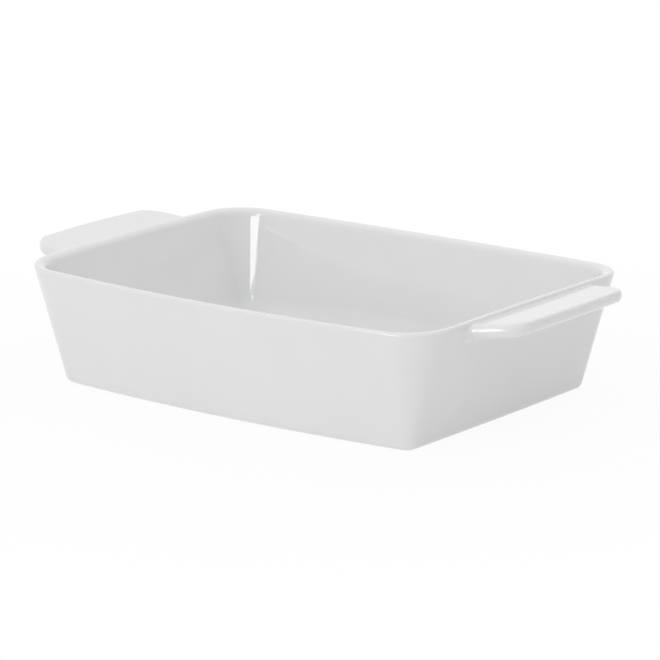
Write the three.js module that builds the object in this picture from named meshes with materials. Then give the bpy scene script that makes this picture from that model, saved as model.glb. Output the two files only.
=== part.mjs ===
// A deep rectangular baking dish of glazed ceramic: a cast bowl, and two tab handles that are
// stuck to its end walls with slip, just under the rim.
// Millimetres, +Z up, +X along the length. The origin is the middle of the foot, on the table.
import * as THREE from "three";

// Bowl: outside sizes, at the middle of each side
const RIM_LENGTH = 330; // across the lip, where it is widest
const RIM_WIDTH = 240;
const BASE_LENGTH = 282; // where the end walls, carried on down, would meet the table
const BASE_WIDTH = 204.5; // the same for the long walls
const HEIGHT = 79.9; // table to rim crest, at the corners
const RIM_SADDLE = 1; // the rim crest rises by this at the handles and dips by this between them
const LONG_BOW = 8; // the long sides swell outwards by this at their middle
const END_BOW = 1; // the same for the end walls
const RIM_CORNER_RADIUS = 28;
const BASE_CORNER_RADIUS = 5;
const SMALLEST_RADIUS = 5; // of the plan corners inside the wall, on the floor and on the foot

// Bowl: wall, floor and foot
const WALL = 6.5; // square to the wall
const LIP_RADIUS = 1.7; // edges on both sides of the lip's flat top
const FLOOR = 6.5;
const FLOOR_FILLET = 22; // inside, floor to wall
const BASE_FILLET = 6; // outside, wall to foot
const FOOT_WIDTH = 6; // flat ring that stands on the table
const FOOT_HEIGHT = 1.5; // the base inside the ring is raised by this
const FOOT_DRAFT = 1.5; // the ring's inner flank slopes by this, so that the cast leaves its mould

// Handles
const HANDLE_REACH = 34.3; // past the rim
const HANDLE_ROOT_WIDTH = 135; // along the end wall, before the fillets
const HANDLE_TIP_WIDTH = 120;
const HANDLE_TIP_RADIUS = 13; // plan corners of the tip
const HANDLE_TIP_BOW = 2.5; // the tip's corners stand back by this
const HANDLE_ROOT_THICKNESS = 9.8;
const HANDLE_TIP_THICKNESS = 8.8;
const HANDLE_DROP = 2.4; // rim crest down to the handle's top face, at the wall
const HANDLE_RISE = 4.4; // the top face climbs by this from the wall to the tip
const HANDLE_CROWN = 0.6; // the top face falls by this from the tip's middle to its corners
const NOSE_DROP = 3.4; // top face down to the level at which the handle reaches furthest out
const NOSE_OVER = 3.4; // the top face rounds off over this length
const NOSE_UNDER = 11; // the same for the underside
const ROOT_FILLET_OVER = 1.2;
const ROOT_FILLET_SIDE = 4;
const ROOT_FILLET_UNDER = 3.5;

// Joint between handle and wall
const SLIP_THICKNESS = 0.9;
const JOINT_GAP = 0.3; // between slip and wall, and between slip and handle

// Facets
const CORNER_STEPS = 9;
const LONG_SIDE_STEPS = 10;
const END_STEPS = 8;
const FILLET_STEPS = 6;
const LIP_STEPS = 4;
const HANDLE_FLAT_STEPS = 12;
const HANDLE_EDGE_STEPS = 8;
const HANDLE_TIP_STEPS = 8;
const ROOT_FILLET_STEPS = 5;
const SEAT_STEPS = 6; // faces against the wall, from the middle of a section to its edge
const TIP_END_ANGLE = 1.45; // radians round the tip's corner at which the nose closes with a flat

const lerp = THREE.MathUtils.lerp;

const glaze = () => new THREE.MeshStandardMaterial({ color: 0xe9e9e8, roughness: 0.12, metalness: 0 });
const bisque = () => new THREE.MeshStandardMaterial({ color: 0xe6e2da, roughness: 0.85, metalness: 0 });

// Plan of the bowl

// Half sizes of the wall's outside, before the sides are bowed, at a share of the way from the
// table up to the level at which the lip is widest.
function planAt(share) {
  return {
    halfLength: lerp(BASE_LENGTH, RIM_LENGTH, share) / 2 - END_BOW,
    halfWidth: lerp(BASE_WIDTH, RIM_WIDTH, share) / 2 - LONG_BOW,
    radius: lerp(BASE_CORNER_RADIUS, RIM_CORNER_RADIUS, share),
  };
}

// The outline's stations, counter-clockwise: each is a quarter, an angle round that quarter's
// corner, and how far the station has gone along the side that follows the corner.
function outlineStations() {
  const stations = [];
  for (let quarter = 0; quarter < 4; quarter++) {
    for (let i = 0; i <= CORNER_STEPS; i++)
      stations.push({ quarter, angle: ((quarter + i / CORNER_STEPS) * Math.PI) / 2, along: 0 });
    const steps = quarter % 2 === 0 ? LONG_SIDE_STEPS : END_STEPS;
    for (let i = 1; i < steps; i++)
      stations.push({ quarter, angle: ((quarter + 1) * Math.PI) / 2, along: i / steps });
  }
  return stations;
}

// A station's point on the outline at such a share, taken in by an inset.
function planPoint(station, share, inset) {
  const plan = planAt(share);
  const radius = Math.max(plan.radius - inset, SMALLEST_RADIUS);
  const cornerX = plan.halfLength - inset - radius;
  const cornerY = plan.halfWidth - inset - radius;
  const signs = [
    [1, 1],
    [-1, 1],
    [-1, -1],
    [1, -1],
  ];
  const here = signs[station.quarter];
  const next = signs[(station.quarter + 1) % 4];
  const x = lerp(here[0], next[0], station.along) * cornerX + radius * Math.cos(station.angle);
  const y = lerp(here[1], next[1], station.along) * cornerY + radius * Math.sin(station.angle);
  const bowX = (END_BOW / plan.halfLength) * (1 - (y / plan.halfWidth) ** 2);
  const bowY = (LONG_BOW / plan.halfWidth) * (1 - (x / plan.halfLength) ** 2);
  return new THREE.Vector2(x * (1 + bowX), y * (1 + bowY));
}

// Height of the rim crest over a point of the plan.
function crestHeight(x, y) {
  const plan = planAt(1);
  return HEIGHT + RIM_SADDLE * ((x / plan.halfLength) ** 2 - (y / plan.halfWidth) ** 2);
}

// Bowl

// The wall's section at one station, from the middle of the base, round the outside, over the
// lip and down the inside to the floor: pairs of height and inset from the wall's outer line.
function bowlSection(lipZ, lean) {
  const section = [];
  const slope = Math.tan(lean);
  const add = (out, z) => section.push({ z, inset: z * slope - out });
  const arc = (out, z, radius, from, to, steps) => {
    for (let i = 0; i <= steps; i++) {
      const angle = lerp(from, to, i / steps);
      add(out + radius * Math.cos(angle), z + radius * Math.sin(angle));
    }
  };
  const square = Math.PI / 2;
  const thickness = WALL / Math.cos(lean); // the wall's thickness, measured level

  const baseOut = BASE_FILLET * slope - BASE_FILLET / Math.cos(lean); // fillet's centre
  const footInside = baseOut - FOOT_WIDTH;
  add(footInside - FOOT_DRAFT, FOOT_HEIGHT);
  add(footInside, 0);
  arc(baseOut, BASE_FILLET, BASE_FILLET, -square, -lean, FILLET_STEPS);

  const lipEdge = LIP_RADIUS / Math.cos(lean); // the edges' centres lie this far inside the wall
  arc(lipZ * slope - lipEdge, lipZ, LIP_RADIUS, -lean, square, LIP_STEPS);
  arc(lipZ * slope - thickness + lipEdge, lipZ, LIP_RADIUS, square, 2 * square - lean, LIP_STEPS);

  const floorZ = FOOT_HEIGHT + FLOOR;
  const hollowZ = floorZ + FLOOR_FILLET;
  const hollowOut = hollowZ * slope - thickness - FLOOR_FILLET / Math.cos(lean);
  arc(hollowOut, hollowZ, FLOOR_FILLET, -lean, -square, FILLET_STEPS);
  return section;
}

function bowlGeometry() {
  const columns = outlineStations().map((station) => {
    const foot = planPoint(station, 0, 0);
    const rim = planPoint(station, 1, 0);
    const crest = crestHeight(rim.x, rim.y);
    const lipZ = crest - LIP_RADIUS;
    const lean = Math.atan2(rim.distanceTo(foot), lipZ);
    return bowlSection(lipZ, lean).map(({ z, inset }) => {
      const point = planPoint(station, z / lipZ, inset);
      return new THREE.Vector3(point.x, point.y, z);
    });
  });
  const rings = columns[0].map((_, level) => columns.map((column) => column[level]));
  return loft(rings, 0);
}

// Handles

const HANDLE_TIP_X = RIM_LENGTH / 2 + HANDLE_REACH;
const HANDLE_TOP_Z = HEIGHT + RIM_SADDLE - HANDLE_DROP; // top face, at the wall
const HANDLE_LENGTH = HANDLE_TIP_X - endWallX(0, HANDLE_TOP_Z);

// Outer face of the end wall at +X, and of the lip's rounded edge above it.
function endWallX(y, z) {
  const lipZ = crestHeight(planAt(1).halfLength, y) - LIP_RADIUS;
  const plan = planAt(Math.min(z / lipZ, 1));
  const pastSide = Math.max(Math.abs(y) - (plan.halfWidth - plan.radius), 0);
  const cornered = plan.radius - Math.sqrt(Math.max(plan.radius ** 2 - pastSide ** 2, 0));
  const pastLip = Math.min(Math.max(z - lipZ, 0), LIP_RADIUS);
  const roundedIn = LIP_RADIUS - Math.sqrt(LIP_RADIUS ** 2 - pastLip ** 2);
  return plan.halfLength - cornered - roundedIn + END_BOW * (1 - (y / plan.halfWidth) ** 2);
}

// How far a fillet of this radius stands out at a distance from the wall.
function flare(radius, distance) {
  if (distance >= radius) return 0;
  return radius - Math.sqrt(radius ** 2 - (radius - distance) ** 2);
}

// Share of a half width or height that remains where it rounds off to the tip over a length.
function rounded(length, toTip) {
  return Math.sqrt(1 - (1 - Math.min(toTip / length, 1)) ** 2);
}

// The handle's section at a distance from the wall: a flat bar with round edges, which swells
// into the root fillets near the wall and shrinks round the corners and nose of the tip. With
// a fill under 1 it is a thinner bar inside that section.
function handleRing(distance, fill = 1) {
  const share = distance / HANDLE_LENGTH;
  const toTip = HANDLE_LENGTH - distance;
  const face = HANDLE_TOP_Z + HANDLE_RISE * share;
  const under = lerp(HANDLE_ROOT_THICKNESS, HANDLE_TIP_THICKNESS, share) - NOSE_DROP;
  const nose = face - NOSE_DROP;
  const top = nose + NOSE_DROP * rounded(NOSE_OVER, toTip) + flare(ROOT_FILLET_OVER, distance);
  const bottom = nose - under * rounded(NOSE_UNDER, toTip) - flare(ROOT_FILLET_UNDER, distance);
  const halfWidth =
    lerp(HANDLE_ROOT_WIDTH, HANDLE_TIP_WIDTH, share) / 2 -
    HANDLE_TIP_RADIUS * (1 - rounded(HANDLE_TIP_RADIUS, toTip)) +
    flare(ROOT_FILLET_SIDE, distance);

  const flat = halfWidth - (top - bottom) / 2;
  const middle = (top + bottom) / 2;
  const edge = (fill * (top - bottom)) / 2;
  const ring = [];
  const add = (y, z) => {
    const sideways = ((2 * y) / HANDLE_TIP_WIDTH) ** 2;
    const tipX = HANDLE_TIP_X - HANDLE_TIP_BOW * sideways;
    const fall = HANDLE_CROWN * sideways * share;
    ring.push(new THREE.Vector3(lerp(endWallX(y, z), tipX, share), y, z - fall));
  };
  for (const side of [1, -1]) {
    for (let i = 0; i <= HANDLE_EDGE_STEPS; i++) {
      const angle = side * lerp(-Math.PI / 2, Math.PI / 2, i / HANDLE_EDGE_STEPS);
      add(side * (flat + edge * Math.cos(angle)), middle + edge * Math.sin(angle));
    }
    for (let i = 1; i < HANDLE_FLAT_STEPS; i++)
      add(side * lerp(flat, -flat, i / HANDLE_FLAT_STEPS), middle + side * edge);
  }
  return ring;
}

// Rings that fill the section at a distance from the wall, from its middle to its edge, so that
// the face they make follows the wall and the lip's edge.
function seatRings(distance) {
  const rings = [];
  for (let i = 1; i <= SEAT_STEPS; i++) rings.push(handleRing(distance, i / SEAT_STEPS));
  return rings;
}

// A handle, from the face that sits on its slip to the nose.
function handleGeometry() {
  const seat = 2 * JOINT_GAP + SLIP_THICKNESS;
  const filletsEnd = Math.max(ROOT_FILLET_OVER, ROOT_FILLET_SIDE, ROOT_FILLET_UNDER);
  const rings = seatRings(seat);
  for (let i = 1; i <= ROOT_FILLET_STEPS; i++)
    rings.push(handleRing(lerp(seat, filletsEnd, (i / ROOT_FILLET_STEPS) ** 2)));
  for (let i = 0; i <= HANDLE_TIP_STEPS; i++) {
    const angle = (TIP_END_ANGLE * i) / HANDLE_TIP_STEPS;
    rings.push(handleRing(HANDLE_LENGTH - HANDLE_TIP_RADIUS * (1 - Math.sin(angle))));
  }
  return loft(rings, HANDLE_EDGE_STEPS / 2);
}

// The bed of slip: a thin plate that follows the wall, with the start of the root fillets.
function slipGeometry() {
  const wallSide = seatRings(JOINT_GAP);
  const handleSide = seatRings(JOINT_GAP + SLIP_THICKNESS);
  return loft([...wallSide, ...handleSide.reverse()], HANDLE_EDGE_STEPS / 2);
}

// A closed skin through rings of equally many points, which run counter-clockwise as seen from
// ahead of the last ring. Each end is shut by a strip, which starts at a ring's first point and
// joins the points on both sides of it in pairs, so that it follows a curved end.
function loft(rings, first) {
  const count = rings[0].length;
  const index = [];
  for (let i = 0; i + 1 < rings.length; i++)
    for (let j = 0; j < count; j++) {
      const [a, b] = [i * count + j, i * count + ((j + 1) % count)];
      const [c, d] = [a + count, b + count];
      index.push(a, b, d, a, d, c);
    }
  const shut = (ring, forward) => {
    const at = (step) => ring * count + ((first + step + count) % count);
    const add = (a, b, c) => index.push(a, ...(forward ? [b, c] : [c, b]));
    for (let step = 1; step <= count / 2; step++) {
      if (step < count / 2) add(at(step - 1), at(step), at(-step));
      if (step > 1) add(at(step - 1), at(-step), at(1 - step));
    }
  };
  shut(0, false);
  shut(rings.length - 1, true);
  const geometry = new THREE.BufferGeometry().setFromPoints(rings.flat());
  geometry.setIndex(index);
  geometry.computeVertexNormals();
  return geometry;
}

// Assembly

function piece(name, geometry, material) {
  const mesh = new THREE.Mesh(geometry, material);
  mesh.name = name;
  return mesh;
}

function handleSet(side, turn) {
  const set = new THREE.Group();
  set.rotation.z = turn;
  set.add(piece(`${side}_handle`, handleGeometry(), glaze()));
  set.add(piece(`${side}_luting_slip`, slipGeometry(), bisque()));
  return set;
}

const dish = new THREE.Group();
dish.add(piece("dish_body", bowlGeometry(), glaze()));
dish.add(handleSet("right", 0));
dish.add(handleSet("left", Math.PI));

export default dish;
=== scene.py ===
# A deep rectangular baking dish of white glazed ceramic, on a pale studio floor.
# Metres, +Z up, +X along the length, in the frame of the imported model.
import math

import bpy
from mathutils import Matrix, Vector


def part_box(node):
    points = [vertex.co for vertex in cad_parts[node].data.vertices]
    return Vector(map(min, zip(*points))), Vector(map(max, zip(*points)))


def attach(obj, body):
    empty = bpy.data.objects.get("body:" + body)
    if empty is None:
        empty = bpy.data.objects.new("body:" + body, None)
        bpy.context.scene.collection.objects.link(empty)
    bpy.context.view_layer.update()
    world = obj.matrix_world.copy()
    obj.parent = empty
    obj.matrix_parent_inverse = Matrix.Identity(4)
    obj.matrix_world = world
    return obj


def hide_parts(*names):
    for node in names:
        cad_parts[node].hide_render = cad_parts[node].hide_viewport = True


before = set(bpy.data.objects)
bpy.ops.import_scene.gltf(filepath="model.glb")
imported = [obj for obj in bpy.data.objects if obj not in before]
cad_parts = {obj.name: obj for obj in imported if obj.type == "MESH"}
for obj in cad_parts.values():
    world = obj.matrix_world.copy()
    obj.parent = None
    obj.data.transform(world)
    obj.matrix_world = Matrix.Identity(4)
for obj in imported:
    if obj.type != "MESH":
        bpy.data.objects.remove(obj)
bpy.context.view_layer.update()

MM = 0.001

# Bowl: outside sizes, at the middle of each side
bowl_low, bowl_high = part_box("dish_body")
RIM_LENGTH = bowl_high.x - bowl_low.x
RIM_WIDTH = bowl_high.y - bowl_low.y
RIM_SADDLE = 1 * MM  # the rim crest rises by this at the handles and dips by this between them
HEIGHT = 79.9 * MM  # table to rim crest, at the corners
BASE_LENGTH = 282 * MM  # where the end walls, carried on down, would meet the table
BASE_WIDTH = 204.5 * MM  # the same for the long walls
LONG_BOW = 8 * MM  # the long sides swell outwards by this at their middle
END_BOW = 1 * MM  # the same for the end walls
RIM_CORNER_RADIUS = 28 * MM
BASE_CORNER_RADIUS = 5 * MM
SMALLEST_RADIUS = 5 * MM  # of the plan corners inside the wall, on the floor and on the foot

# Bowl: wall, floor and foot
WALL = 6.5 * MM  # square to the wall
LIP_RADIUS = 1.7 * MM  # outer edge of the lip
LIP_INNER_RADIUS = 5.4 * MM  # the inner edge is rounder, as the photograph shows
CORNER_FOLLOW = 0.5  # inside the wall, a plan corner's radius shrinks by this share of the inset
FLOOR = 6.5 * MM
FLOOR_FILLET = 22 * MM  # inside, floor to wall
FLOOR_EDGE = 1.2 * FLOOR_FILLET  # from the foot of the inner wall to the flat floor, past the fillet
BASE_FILLET = 6 * MM  # outside, wall to foot
FOOT_WIDTH = 6 * MM  # flat ring that stands on the table
FOOT_HEIGHT = 1.5 * MM  # the base inside the ring is raised by this
FOOT_DRAFT = 1.5 * MM  # the ring's inner flank slopes by this
FOOT_EDGE = 0.7 * MM  # rounding of the ring's inner edge and of the hollow beside it
BASE_EDGE = 2 * FOOT_EDGE  # from the ring's inner flank to the flat base, past that rounding

# Handles
HANDLE_TIP_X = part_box("right_handle")[1].x
HANDLE_ROOT_WIDTH = 135 * MM  # along the end wall, before the fillets
HANDLE_TIP_WIDTH = 120 * MM
HANDLE_TIP_RADIUS = 13 * MM  # plan corners of the tip
HANDLE_TIP_BOW = 2.5 * MM  # the tip's corners stand back by this
HANDLE_ROOT_THICKNESS = 9.8 * MM
HANDLE_TIP_THICKNESS = 8.3 * MM
HANDLE_DROP = 2.4 * MM  # rim crest down to the handle's top face, at the wall
HANDLE_RISE = 4.2 * MM  # the top face climbs by this from the wall to the tip
HANDLE_CROWN = 0.6 * MM  # the top face falls by this from the tip's middle to its corners
NOSE_DROP = 2 * MM  # top face down to the level at which the handle reaches furthest out
NOSE_OVER = 2 * MM  # the top face rounds off over this length
NOSE_UNDER = 4.5 * MM  # the same for the underside
ROOT_FILLET_OVER = 1.2 * MM
ROOT_FILLET_SIDE = 4 * MM
ROOT_FILLET_UNDER = 3.5 * MM
ROOT_BURIED = 1 * MM  # the handle's skin starts this far back, under the wall's
ROOT_SUNK = 0.1 * MM  # and this much deeper along X

# Mesh density
CORNER_STEPS = 20
LONG_SIDE_STEPS = 36
END_STEPS = 28
WALL_STEPS = 14
FOOT_STEPS = 4
FILLET_STEPS = 14
LIP_STEPS = 8
LIP_FLAT_STEPS = 1
SMALL_EDGE_STEPS = 4
SHORT_RUN_STEPS = 2
DISC_SHARES = [0.99, 0.96, 0.88, 0.74, 0.56, 0.36, 0.15]  # rings of floor and base, to their middle
HANDLE_FLAT_STEPS = 36
HANDLE_EDGE_STEPS = 20
HANDLE_FILLET_STEPS = 14
HANDLE_MIDDLE_STEPS = 8
HANDLE_TIP_STEPS = 20
TIP_END_ANGLE = 1.54  # radians round the tip's corner at which the nose closes with a flat

# Camera, as fitted to the photograph: angles in degrees
CAMERA_AZIMUTH = 37.82
CAMERA_ELEVATION = 14.25
CAMERA_ROLL = -0.38
CAMERA_DISTANCE = 2.496
CAMERA_TARGET = Vector((0, 0, 39.65 * MM))
CAMERA_LENS = 209.98
CAMERA_SHIFT = (0.01108, -0.00568)

# Glaze and clay: a noise is its patches per metre, and the levels of finer patches among them
WHITE = (1, 1, 1)
BLACK = (0, 0, 0)
GLAZE = (0.84, 0.84, 0.837)
GLAZE_THIN = (0.84, 0.84, 0.84)
GLAZE_POOLED = (0.825, 0.83, 0.83)
GLAZE_ROUGHNESS = (0.03, 0.06)
GLAZE_IOR = 1.5
GLOSS_NOISE = (40, 2)
MOTTLE_NOISE = (20, 3)
MOTTLE_RANGE = (0.35, 0.65)  # noise levels between which the mottle fades out
MOTTLE_TINT = (0.985, 0.985, 0.987)
WAVE_NOISE = (22, 1)
WAVE_HEIGHT = 0.15 * MM
PEEL_NOISE = (420, 2)
PEEL_HEIGHT = 0.004 * MM
PINHOLE_CELLS = 80  # per metre
PINHOLE_CHANCE = 0.04  # share of the cells that hold a pinhole
PINHOLE_SIZE = 0.025  # of a cell
PINHOLE_DEPTH = 0.1 * MM
PINHOLE_COLOUR = (0.55, 0.54, 0.52)
THIN_BEND = 1 / (3 * MM)  # curvature of an outer edge on which the glaze is thinnest
POOL_BEND = 1 / (12 * MM)  # curvature of a hollow in which it is deepest
BISQUE_LIGHT = (0.80, 0.78, 0.74)
BISQUE_DARK = (0.70, 0.68, 0.63)
BISQUE_ROUGHNESS = 0.85
GRAIN_NOISE = (900, 4)
GRAIN_RANGE = (0.3, 0.7)  # noise levels of the dark and the light grains
GRAIN_HEIGHT = 0.05 * MM
BARE_BELOW = 0.15 * MM  # the foot is bare below this height

# Floor and light
FLOOR_REACH = 6  # from the dish to each edge of the floor
FLOOR_COLOUR = (0.92, 0.92, 0.92)
FLOOR_GLOW = 0.92  # share of plain white in the floor, as seen under the dish
FLOOR_FADE = (0.2, 0.5)  # distances over which it becomes plain white
FLOOR_LIT = 0.3  # share of plain white in the light that it gives back
WORLD_LIGHT = 0.4  # soft light from all round; seen directly or in the glaze, the studio is white
PANELS = {  # azimuth and elevation from the dish, in degrees, and radiance
    "front_high": (0, 55, 0.75),
    "front_low": (0, 15, 0.66),
    "left_high": (-90, 55, 0.2),
    "left_low": (-90, 15, 0.7),
    "front_right_high": (50, 55, 0.65),
    "back_high": (180, 55, 1.1),
}
PANEL_DISTANCE = 2.2
PANEL_SIZE = (2.4, 1.6)
PANES = {  # bright panes of a window that the glaze mirrors, given like the panels, and their sizes
    "main_pane": (2.2, 9.5, 7.5, (0.81, 0.53)),
    "upper_pane": (-16, 31, 7.5, (0.6, 0.34)),
}
PANE_DISTANCE = 1.6


def lerp(a, b, share):
    return a + (b - a) * share


def eased(i, steps):
    """Share of the way after i of so many steps, which are shorter near both ends."""
    return 0.5 - 0.5 * math.cos(math.pi * i / steps)


# Plan of the bowl


def plan_at(share):
    """Half length, half width and corner radius at a share of the way from table to lip."""
    half_length = lerp(BASE_LENGTH, RIM_LENGTH, share) / 2 - END_BOW
    half_width = lerp(BASE_WIDTH, RIM_WIDTH, share) / 2 - LONG_BOW
    return half_length, half_width, lerp(BASE_CORNER_RADIUS, RIM_CORNER_RADIUS, share)


def outline_stations():
    """Stations round the outline: a quarter, an angle round its corner, a share of the next side."""
    stations = []
    for quarter in range(4):
        for i in range(CORNER_STEPS + 1):
            stations.append((quarter, (quarter + i / CORNER_STEPS) * math.pi / 2, 0))
        steps = LONG_SIDE_STEPS if quarter % 2 == 0 else END_STEPS
        for i in range(1, steps):
            stations.append((quarter, (quarter + 1) * math.pi / 2, eased(i, steps)))
    return stations


def plan_point(station, share, inset):
    """A station's point on the outline at such a share, taken in by an inset."""
    quarter, angle, along = station
    half_length, half_width, corner = plan_at(share)
    radius = max(corner - CORNER_FOLLOW * inset, SMALLEST_RADIUS)
    signs = [(1, 1), (-1, 1), (-1, -1), (1, -1)]
    here = signs[quarter]
    beyond = signs[(quarter + 1) % 4]
    x = lerp(here[0], beyond[0], along) * (half_length - inset - radius) + radius * math.cos(angle)
    y = lerp(here[1], beyond[1], along) * (half_width - inset - radius) + radius * math.sin(angle)
    bow_x = END_BOW / half_length * (1 - (y / half_width) ** 2)
    bow_y = LONG_BOW / half_width * (1 - (x / half_length) ** 2)
    return Vector((x * (1 + bow_x), y * (1 + bow_y)))


def crest_height(x, y):
    """Height of the rim crest over a point of the plan."""
    half_length, half_width, _ = plan_at(1)
    return HEIGHT + RIM_SADDLE * ((x / half_length) ** 2 - (y / half_width) ** 2)


# Bowl


def rounded_path(corners):
    """Points along a path of straight runs, whose corners are rounded.

    A corner is its point, its radius, the steps round it and the steps of the run that leads to it,
    which are 0 where it has no length.
    """
    points = []
    ends = [corners[0][0]] + [corner[0] for corner in corners] + [corners[-1][0]]
    for i, (corner, radius, steps, run_steps) in enumerate(corners):
        before = (ends[i] - corner).normalized()
        after = (ends[i + 2] - corner).normalized()
        if radius == 0:
            arc = [corner]
        else:
            half = math.acos(max(-1, min(1, before.dot(after)))) / 2
            centre = corner + (before + after).normalized() * (radius / math.sin(half))
            start = corner + before * (radius / math.tan(half)) - centre
            end = corner + after * (radius / math.tan(half)) - centre
            turn = math.atan2(start.x * end.y - start.y * end.x, start.dot(end))
            arc = [centre + Matrix.Rotation(turn * k / steps, 2) @ start for k in range(steps + 1)]
        if points:
            points += [points[-1].lerp(arc[0], eased(k, run_steps)) for k in range(1, run_steps)]
            arc = arc if run_steps else arc[1:]
        points += arc
    return points


def bowl_section(lip_z, lean):
    """The wall's section from base over lip to floor: heights, and insets from its outer line."""
    slope = math.tan(lean)
    crest = lip_z + LIP_RADIUS
    thickness = WALL / math.cos(lean)
    floor_z = FOOT_HEIGHT + FLOOR
    foot_outside = -BASE_FILLET * math.tan((math.pi / 2 - lean) / 2)
    foot_inside = foot_outside - FOOT_WIDTH
    recess = foot_inside - FOOT_DRAFT
    floor_corner = floor_z * slope - thickness
    corners = [
        (Vector((recess - BASE_EDGE, FOOT_HEIGHT)), 0, 0, 0),
        (Vector((recess, FOOT_HEIGHT)), FOOT_EDGE, SMALL_EDGE_STEPS, SHORT_RUN_STEPS),
        (Vector((foot_inside, 0)), FOOT_EDGE, SMALL_EDGE_STEPS, SHORT_RUN_STEPS),
        (Vector((0, 0)), BASE_FILLET, FILLET_STEPS, FOOT_STEPS),
        (Vector((crest * slope, crest)), LIP_RADIUS, LIP_STEPS, WALL_STEPS),
        (Vector((crest * slope - thickness, crest)), LIP_INNER_RADIUS, FILLET_STEPS, LIP_FLAT_STEPS),
        (Vector((floor_corner, floor_z)), FLOOR_FILLET, FILLET_STEPS, WALL_STEPS),
        (Vector((floor_corner - FLOOR_EDGE, floor_z)), 0, 0, SHORT_RUN_STEPS),
    ]
    return [(point.y, point.y * slope - point.x) for point in rounded_path(corners)]


def disc_rings(edge):
    """Rings that fill a flat outline towards its middle."""
    return [[Vector((p.x * share, p.y * share, p.z)) for p in edge] for share in DISC_SHARES]


def bowl_rings():
    """Rings from the middle of the base, out and over the lip, to the middle of the floor."""
    columns = []
    for station in outline_stations():
        foot = plan_point(station, 0, 0)
        rim = plan_point(station, 1, 0)
        lip_z = crest_height(*rim) - LIP_RADIUS
        lean = math.atan2((rim - foot).length, lip_z)
        column = []
        for z, inset in bowl_section(lip_z, lean):
            point = plan_point(station, z / lip_z, inset)
            column.append(Vector((point.x, point.y, z)))
        columns.append(column)
    rings = [list(ring) for ring in zip(*columns)]
    return disc_rings(rings[0])[::-1] + rings + disc_rings(rings[-1])


# Handles

LIP_TOP = HEIGHT + RIM_SADDLE
HANDLE_TOP_Z = LIP_TOP - HANDLE_DROP


def end_wall_x(y, z):
    """Outer face of the end wall at +X, and of the lip above it."""
    lip_z = crest_height(plan_at(1)[0], y) - LIP_RADIUS
    half_length, half_width, radius = plan_at(min(z / lip_z, 1))
    past_side = max(abs(y) - (half_width - radius), 0)
    cornered = radius - math.sqrt(max(radius**2 - past_side**2, 0))
    past_lip = min(max(z - lip_z, 0), LIP_RADIUS)
    rounded_in = LIP_RADIUS - math.sqrt(LIP_RADIUS**2 - past_lip**2)
    return half_length - cornered - rounded_in + END_BOW * (1 - (y / half_width) ** 2)


HANDLE_LENGTH = HANDLE_TIP_X - end_wall_x(0, HANDLE_TOP_Z)


def flare(radius, distance):
    """How far a fillet of this radius stands out at a distance from the wall."""
    if distance >= radius:
        return 0
    return radius - math.sqrt(radius**2 - (radius - distance) ** 2)


def rounded(length, to_tip):
    """Share of a half width or height that remains where it rounds off to the tip over a length."""
    return math.sqrt(1 - (1 - min(to_tip / length, 1)) ** 2)


def handle_ring(distance):
    """The handle's section at a distance from the wall: a flat bar with round edges."""
    share = distance / HANDLE_LENGTH
    to_tip = HANDLE_LENGTH - distance
    nose = HANDLE_TOP_Z + HANDLE_RISE * share - NOSE_DROP
    under = lerp(HANDLE_ROOT_THICKNESS, HANDLE_TIP_THICKNESS, share) - NOSE_DROP
    top = nose + NOSE_DROP * rounded(NOSE_OVER, to_tip) + flare(ROOT_FILLET_OVER, distance)
    bottom = nose - under * rounded(NOSE_UNDER, to_tip) - flare(ROOT_FILLET_UNDER, distance)
    half_width = lerp(HANDLE_ROOT_WIDTH, HANDLE_TIP_WIDTH, share) / 2
    half_width -= HANDLE_TIP_RADIUS * (1 - rounded(HANDLE_TIP_RADIUS, to_tip))
    half_width += flare(ROOT_FILLET_SIDE, distance)
    edge = (top - bottom) / 2
    flat = half_width - edge

    section = []
    for side in (1, -1):
        for i in range(HANDLE_EDGE_STEPS + 1):
            angle = side * math.pi * (i / HANDLE_EDGE_STEPS - 0.5)
            y = side * (flat + edge * math.cos(angle))
            section.append((y, (top + bottom) / 2 + edge * math.sin(angle)))
        for i in range(1, HANDLE_FLAT_STEPS):
            y = side * lerp(flat, -flat, eased(i, HANDLE_FLAT_STEPS))
            section.append((y, top if side > 0 else bottom))

    ring = []
    for y, z in section:
        sideways = (2 * y / HANDLE_TIP_WIDTH) ** 2
        tip_x = HANDLE_TIP_X - HANDLE_TIP_BOW * sideways
        x = lerp(end_wall_x(y, z), tip_x, share)
        ring.append(Vector((x, y, z - HANDLE_CROWN * sideways * share)))
    return ring


def buried(here, ahead):
    """Where the skin that comes out of the wall here, on its way ahead, starts under the wall."""
    past_lip = max(here.z - (LIP_TOP - LIP_RADIUS), 0)
    way = (here - ahead).normalized()
    sunk = ROOT_SUNK + past_lip
    return here + Vector((way.x, way.y, min(way.z, 0))) * ROOT_BURIED - Vector((sunk, 0, 0))


def handle_rings():
    """Rings from just inside the wall to the tip."""
    fillets_end = max(ROOT_FILLET_OVER, ROOT_FILLET_SIDE, ROOT_FILLET_UNDER)
    tip_start = HANDLE_LENGTH - HANDLE_TIP_RADIUS
    distances = []
    for i in range(HANDLE_FILLET_STEPS + 1):
        distances.append(fillets_end * (i / HANDLE_FILLET_STEPS) ** 2)
    for i in range(1, HANDLE_MIDDLE_STEPS):
        distances.append(lerp(fillets_end, tip_start, i / HANDLE_MIDDLE_STEPS))
    for i in range(HANDLE_TIP_STEPS + 1):
        angle = TIP_END_ANGLE * i / HANDLE_TIP_STEPS
        distances.append(tip_start + HANDLE_TIP_RADIUS * math.sin(angle))
    rings = [handle_ring(distance) for distance in distances]
    hidden = [buried(here, ahead) for here, ahead in zip(rings[0], rings[1])]
    return [hidden] + rings


# Meshes


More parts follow.
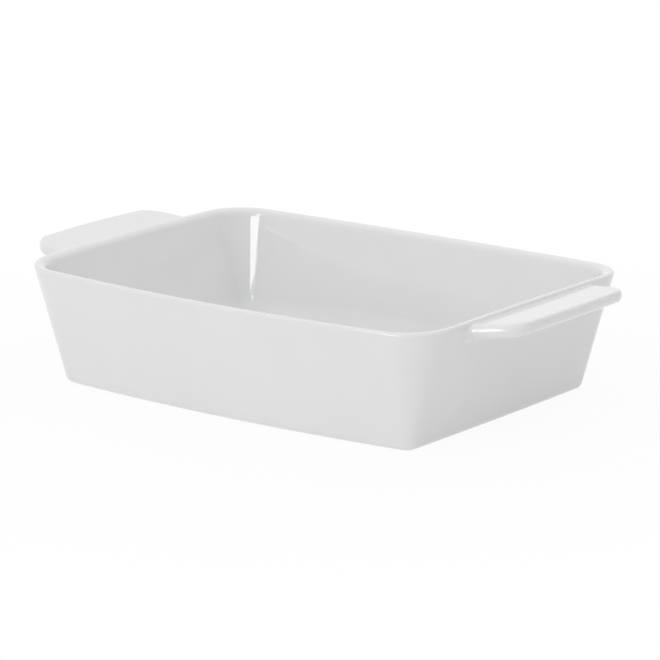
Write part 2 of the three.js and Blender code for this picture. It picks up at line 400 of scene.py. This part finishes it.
def loft(name, rings, first, material):
    """A closed skin through rings of points. Each end is shut by a strip, which starts at a ring's
    first point and joins the points on both sides of it in pairs."""
    count = len(rings[0])
    faces = []
    for i in range(len(rings) - 1):
        for j in range(count):
            a = i * count + j
            b = i * count + (j + 1) % count
            faces.append((a, b, b + count, a + count))

    def shut(ring, forward):
        def at(step):
            return ring * count + (first + step) % count

        for step in range(1, count // 2 + 1):
            corners = [at(step - 1), at(step), at(-step), at(1 - step)]
            face = list(dict.fromkeys(corners))
            faces.append(face if forward else face[::-1])

    shut(0, False)
    shut(len(rings) - 1, True)
    mesh = bpy.data.meshes.new(name)
    mesh.from_pydata([point for ring in rings for point in ring], [], faces)
    mesh.validate()
    mesh.shade_smooth()
    mesh.materials.append(material)
    store_glaze_depth(mesh)
    return mesh


def store_glaze_depth(mesh):
    """How thick the glaze lies on each vertex: 0 on a sharp edge, 0.5 on a flat face, 1 in a hollow."""
    outward = [0.0] * len(mesh.vertices)
    inward = [0.0] * len(mesh.vertices)
    for edge in mesh.edges:
        for here, there in (tuple(edge.vertices), tuple(edge.vertices)[::-1]):
            step = mesh.vertices[there].co - mesh.vertices[here].co
            bend = -2 * step.dot(mesh.vertices[here].normal) / step.length_squared
            outward[here] = max(outward[here], bend)
            inward[here] = max(inward[here], -bend)
    attribute = mesh.attributes.new("glaze_depth", "FLOAT", "POINT")
    for item, thin, pooled in zip(attribute.data, outward, inward):
        item.value = 0.5 - 0.5 * min(thin / THIN_BEND, 1) + 0.5 * min(pooled / POOL_BEND, 1)


def bare_foot(mesh, clay):
    """The flat ring that the bowl stands on carries no glaze."""
    mesh.materials.append(clay)
    for face in mesh.polygons:
        if face.center.z < BARE_BELOW:
            face.material_index = len(mesh.materials) - 1


def add_piece(name, mesh, *nodes):
    """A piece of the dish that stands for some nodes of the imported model."""
    piece = bpy.data.objects.new(name, mesh)
    bpy.context.scene.collection.objects.link(piece)
    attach(piece, "root")
    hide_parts(*nodes)


# Shader nodes, of a material, a lamp or the world


def set_input(owner, socket, value):
    """Gives an input a plain value, or a link from another node's output."""
    if isinstance(value, bpy.types.NodeSocket):
        owner.node_tree.links.new(value, socket)
    else:
        socket.default_value = value


def set_inputs(owner, node, **inputs):
    """Sets inputs by name, with underscores for the spaces."""
    for name, value in inputs.items():
        set_input(owner, node.inputs[name.replace("_", " ")], value)


def add_node(owner, kind, settings=None, **inputs):
    node = owner.node_tree.nodes.new("ShaderNode" + kind)
    for name, value in (settings or {}).items():
        setattr(node, name, value)
    set_inputs(owner, node, **inputs)
    return node


def add_math(owner, operation, *values):
    node = add_node(owner, "Math", {"operation": operation})
    for socket, value in zip(node.inputs, values):
        set_input(owner, socket, value)
    return node.outputs["Value"]


def add_place(owner):
    """Where a point of the surface is, in the dish's own frame."""
    return add_node(owner, "TexCoord").outputs["Object"]


def add_noise(owner, place, scale, detail):
    return add_node(owner, "TexNoise", Vector=place, Scale=scale, Detail=detail).outputs["Fac"]


def add_ramp(owner, value, stops):
    """A colour for each value, between stops of a place and a colour."""
    node = add_node(owner, "ValToRGB", Fac=value)
    elements = node.color_ramp.elements
    while len(elements) < len(stops):
        elements.new(0.5)
    for element, (place, colour) in zip(elements, stops):
        element.position = place
        element.color = (*colour, 1)
    return node.outputs["Color"]


def add_mix(owner, blend, share, first, second):
    """The first of two colours, blended with a share of the second."""
    node = add_node(owner, "MixRGB", {"blend_type": blend}, Fac=share, Color1=first, Color2=second)
    return node.outputs["Color"]


def add_range(owner, value, low, high):
    """A value between 0 and 1, spread from low to high."""
    return add_node(owner, "MapRange", Value=value, To_Min=low, To_Max=high).outputs["Result"]


def add_bump(owner, pattern, height, under=None, sunk=False):
    """A pattern raised to a height, or sunk to that depth, on top of the bumps under it."""
    node = add_node(owner, "Bump", {"invert": sunk}, Height=pattern, Distance=height)
    if under:
        set_inputs(owner, node, Normal=under)
    return node.outputs["Normal"]


def add_seen(owner):
    """1 for what the camera sees, also mirrored or through glass, and 0 for light on matt surfaces."""
    rays = add_node(owner, "LightPath").outputs
    mirrored_too = add_math(owner, "MAXIMUM", rays["Is Camera Ray"], rays["Is Glossy Ray"])
    return add_math(owner, "MAXIMUM", mirrored_too, rays["Is Transmission Ray"])


# Materials


def new_material(name):
    material = bpy.data.materials.new(name)
    material.use_nodes = True
    return material, material.node_tree.nodes["Principled BSDF"]


def add_pinholes(material, place):
    """1 in a pinhole, which lies in the middle of a cell now and then, and 0 elsewhere."""
    cells = add_node(material, "TexVoronoi", Vector=place, Scale=PINHOLE_CELLS)
    stops = [(PINHOLE_SIZE / 2, WHITE), (PINHOLE_SIZE, BLACK)]
    near_middle = add_ramp(material, cells.outputs["Distance"], stops)
    draw = add_node(material, "SeparateColor", Color=cells.outputs["Color"]).outputs["Red"]
    chosen = add_math(material, "GREATER_THAN", draw, 1 - PINHOLE_CHANCE)
    return add_math(material, "MULTIPLY", near_middle, chosen)


def glaze_material():
    """White gloss glaze: neutral where it lies thin, a little greyer where it has run together, faintly
    wavy all over, with a pinhole here and there."""
    material, shader = new_material("glaze")
    place = add_place(material)
    pinholes = add_pinholes(material, place)

    depth = add_node(material, "Attribute", {"attribute_name": "glaze_depth"}).outputs["Fac"]
    by_depth = add_ramp(material, depth, [(0, GLAZE_THIN), (0.5, GLAZE), (1, GLAZE_POOLED)])
    patches = add_noise(material, place, *MOTTLE_NOISE)
    mottle = add_ramp(material, patches, list(zip(MOTTLE_RANGE, (MOTTLE_TINT, WHITE))))
    mottled = add_mix(material, "MULTIPLY", 1, by_depth, mottle)
    pitted = add_mix(material, "MIX", pinholes, mottled, (*PINHOLE_COLOUR, 1))

    gloss = add_noise(material, place, *GLOSS_NOISE)
    roughness = add_range(material, gloss, *GLAZE_ROUGHNESS)
    waves = add_bump(material, add_noise(material, place, *WAVE_NOISE), WAVE_HEIGHT)
    peel = add_bump(material, add_noise(material, place, *PEEL_NOISE), PEEL_HEIGHT, waves)
    relief = add_bump(material, pinholes, PINHOLE_DEPTH, peel, sunk=True)
    set_inputs(material, shader, Base_Color=pitted, Roughness=roughness, Normal=relief, IOR=GLAZE_IOR)
    return material


def bisque_material():
    """Bare fired clay, where the foot stood in the kiln: matt, grainy and a little creamy."""
    material, shader = new_material("bisque")
    grain = add_noise(material, add_place(material), *GRAIN_NOISE)
    colour = add_ramp(material, grain, list(zip(GRAIN_RANGE, (BISQUE_DARK, BISQUE_LIGHT))))
    relief = add_bump(material, grain, GRAIN_HEIGHT)
    set_inputs(material, shader, Base_Color=colour, Roughness=BISQUE_ROUGHNESS, Normal=relief)
    return material


def floor_material():
    """White paper that fades to the plain white background away from the dish, and keeps its shadow."""
    material, shader = new_material("floor")
    set_inputs(material, shader, Base_Color=(*FLOOR_COLOUR, 1), Roughness=1, Specular_IOR_Level=0)
    near, far = FLOOR_FADE
    distance = add_node(material, "VectorMath", {"operation": "LENGTH"}, Vector=add_place(material))
    fade = add_node(material, "MapRange", {"interpolation_type": "SMOOTHSTEP"}, To_Min=FLOOR_GLOW, To_Max=1)
    set_inputs(material, fade, Value=distance.outputs["Value"], From_Min=near, From_Max=far)
    share = add_range(material, add_seen(material), FLOOR_LIT, fade.outputs["Result"])
    glow = add_node(material, "Emission", Strength=1)
    mix = add_node(material, "MixShader", Fac=share)
    set_input(material, mix.inputs[1], shader.outputs["BSDF"])
    set_input(material, mix.inputs[2], glow.outputs["Emission"])
    set_inputs(material, material.node_tree.nodes["Material Output"], Surface=mix.outputs["Shader"])
    return material


# Scene


def add_floor():
    mesh = bpy.data.meshes.new("floor")
    signs = [(-1, -1), (1, -1), (1, 1), (-1, 1)]
    corners = [(x * FLOOR_REACH, y * FLOOR_REACH, 0) for x, y in signs]
    mesh.from_pydata(corners, [], [(0, 1, 2, 3)])
    mesh.materials.append(floor_material())
    floor = bpy.data.objects.new("floor", mesh)
    bpy.context.scene.collection.objects.link(floor)


def direction(azimuth, elevation):
    """Unit vector from the dish: azimuth 0 is the near long side, 90 the right handle."""
    a = math.radians(azimuth)
    e = math.radians(elevation)
    return Vector((math.sin(a) * math.cos(e), -math.cos(a) * math.cos(e), math.sin(e)))


def keep_off_matt(lamp):
    """Stops the glaze from sending a mirrored lamp's light on to matt surfaces, in bright lines."""
    lamp.use_nodes = True
    matt_bounces = add_node(lamp, "LightPath").outputs["Diffuse Depth"]
    direct = add_math(lamp, "LESS_THAN", matt_bounces, 1)
    set_inputs(lamp, lamp.node_tree.nodes["Emission"], Strength=direct)


def add_softbox(name, azimuth, elevation, radiance, distance, size, mirrored=False):
    """A flat lamp that faces the dish. It shows in the glaze alone, or else lights the dish unseen."""
    lamp = bpy.data.lights.new(name, "AREA")
    lamp.shape = "RECTANGLE"
    lamp.size, lamp.size_y = size
    lamp.energy = radiance * math.pi * lamp.size * lamp.size_y
    softbox = bpy.data.objects.new(name, lamp)
    way = direction(azimuth, elevation)
    softbox.location = CAMERA_TARGET + way * distance
    softbox.rotation_euler = way.to_track_quat("Z", "Y").to_euler()
    softbox.visible_camera = False
    softbox.visible_glossy = mirrored
    softbox.visible_diffuse = not mirrored
    if mirrored:
        keep_off_matt(lamp)
    bpy.context.scene.collection.objects.link(softbox)


def add_world():
    world = bpy.data.worlds.new("studio")
    world.use_nodes = True
    strength = add_range(world, add_seen(world), WORLD_LIGHT, 1)
    set_inputs(world, world.node_tree.nodes["Background"], Color=(*WHITE, 1), Strength=strength)
    bpy.context.scene.world = world


def add_camera():
    azimuth = math.radians(CAMERA_AZIMUTH)
    roll = math.radians(CAMERA_ROLL)
    back = direction(CAMERA_AZIMUTH, CAMERA_ELEVATION)
    level = Vector((math.cos(azimuth), math.sin(azimuth), 0))
    upright = back.cross(level)
    right = level * math.cos(roll) + upright * math.sin(roll)
    up = upright * math.cos(roll) - level * math.sin(roll)
    lens = bpy.data.cameras.new("camera")
    lens.lens = CAMERA_LENS
    lens.shift_x, lens.shift_y = CAMERA_SHIFT
    camera = bpy.data.objects.new("camera", lens)
    turn = Matrix((right, up, back)).transposed().to_4x4()
    camera.matrix_world = Matrix.Translation(CAMERA_TARGET + back * CAMERA_DISTANCE) @ turn
    bpy.context.scene.collection.objects.link(camera)
    bpy.context.scene.camera = camera


glaze = glaze_material()
bowl_mesh = loft("bowl", bowl_rings(), 0, glaze)
bare_foot(bowl_mesh, bisque_material())
right_mesh = loft("right_handle_glazed", handle_rings(), HANDLE_EDGE_STEPS // 2, glaze)
left_mesh = right_mesh.copy()
left_mesh.transform(Matrix.Rotation(math.pi, 4, "Z"))
add_piece("bowl", bowl_mesh, "dish_body")
add_piece("right_handle_glazed", right_mesh, "right_handle", "right_luting_slip")
add_piece("left_handle_glazed", left_mesh, "left_handle", "left_luting_slip")

add_floor()
add_world()
for panel_name, panel in PANELS.items():
    add_softbox(panel_name, *panel, PANEL_DISTANCE, PANEL_SIZE)
for pane_name, (azimuth, elevation, radiance, size) in PANES.items():
    add_softbox(pane_name, azimuth, elevation, radiance, PANE_DISTANCE, size, mirrored=True)
add_camera()
bpy.context.scene.view_settings.view_transform = "Standard"
